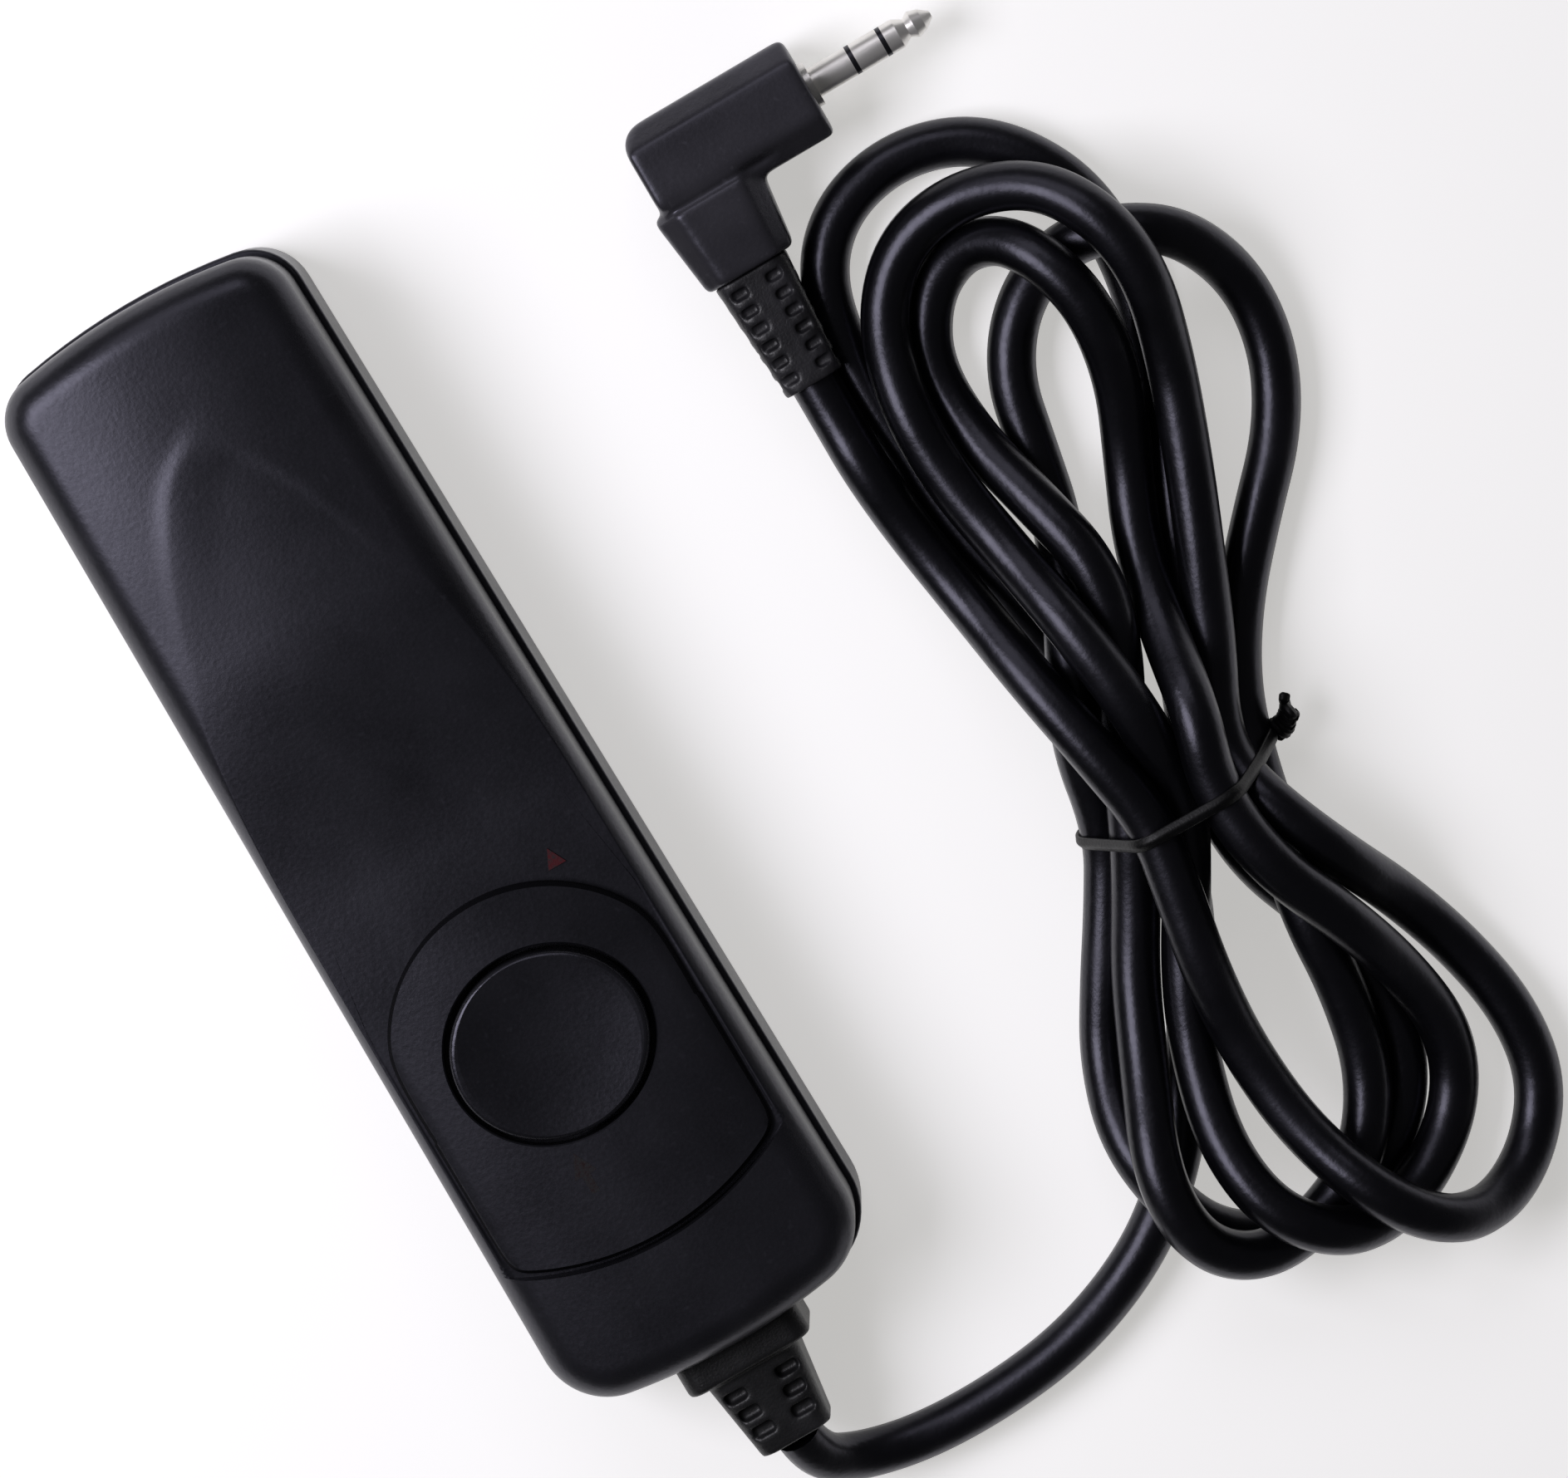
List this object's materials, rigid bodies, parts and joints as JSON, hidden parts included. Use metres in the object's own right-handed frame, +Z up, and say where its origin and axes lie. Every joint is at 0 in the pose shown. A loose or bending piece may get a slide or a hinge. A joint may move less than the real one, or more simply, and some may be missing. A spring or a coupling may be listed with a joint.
{
  "type": "wired remote shutter release",
  "caption": "Wired remote shutter release: hand switch with a thumb button on a sliding lock, bundled cord and a right-angle jack plug.",
  "frame": {"origin": "middle of the handset's underside, on the plane it rests on", "axes": "+Z up out of the button side, +Y along the handset from its cord end to its far end, +X to its right, where the bundled cord and the plug lie"},
  "size_m": [0.0938, 0.1242, 0.0169],
  "materials": {
    "cover_plastic": "satin",
    "shell_plastic": "satin",
    "lock_plastic": "satin",
    "button_plastic": "satin",
    "inner_plastic": "matt",
    "red_print": "satin",
    "spring_steel": "satin",
    "screw_steel": "satin",
    "board_laminate": "satin",
    "contact_bronze": "satin",
    "contact_silver": "polished",
    "solder": "satin",
    "wire_red": "satin",
    "wire_white": "satin",
    "wire_black": "satin",
    "label_film": "satin",
    "relief_rubber": "satin",
    "cord_vinyl": "semi-gloss",
    "tie_vinyl": "semi-gloss",
    "plug_moulding": "satin",
    "plug_nickel": "polished",
    "plug_insulation": "gloss"
  },
  "bodies": {
    "case": {"bottom_shell": "shell_plastic", "top_cover": "cover_plastic", "lock_mark": "red_print", "index_mark": "red_print", "detent_spring": "spring_steel", "circuit_board": "board_laminate", "board_screws": "screw_steel", "contact_block": "inner_plastic", "contact_full": "contact_bronze", "contact_half": "contact_bronze", "contact_common": "contact_bronze", "contact_points": "contact_silver", "wire_focus": "wire_white", "wire_ground": "wire_black", "wire_shutter": "wire_red", "solder_joints": "solder", "case_screws": "screw_steel", "rating_label": "label_film", "cable_clamp": "inner_plastic", "clamp_screws": "screw_steel", "cord_inner": "cord_vinyl", "handset_strain_relief": "relief_rubber", "cord_from_handset": "cord_vinyl", "cord_hank": "cord_vinyl", "cord_to_plug": "cord_vinyl", "twist_tie": "tie_vinyl", "plug_body": "plug_moulding", "plug_strain_relief": "plug_moulding", "plug_collar": "plug_nickel", "plug_sleeve": "plug_nickel", "plug_insulators": "plug_insulation", "plug_ring": "plug_nickel", "plug_tip": "plug_nickel"},
    "lock": {"lock_slide": "lock_plastic", "slide_keeper": "inner_plastic", "lock_arrow": "red_print", "button_spring": "spring_steel"},
    "button": {"shutter_button": "button_plastic", "button_stem": "inner_plastic", "stem_clip": "spring_steel"}
  },
  "joints": [
    {"name": "lock_slide_travel", "type": "slide", "parent": "case", "child": "lock", "axis": [0, 1, 0], "range_m": [0, 0.004]},
    {"name": "button_press", "type": "slide", "parent": "lock", "child": "button", "axis": [0, 0, -1], "range_m": [0, 0.0015], "stiffness_N_per_m": 1100, "springref_m": -0.0007, "deforming": ["button_spring"]}
  ]
}
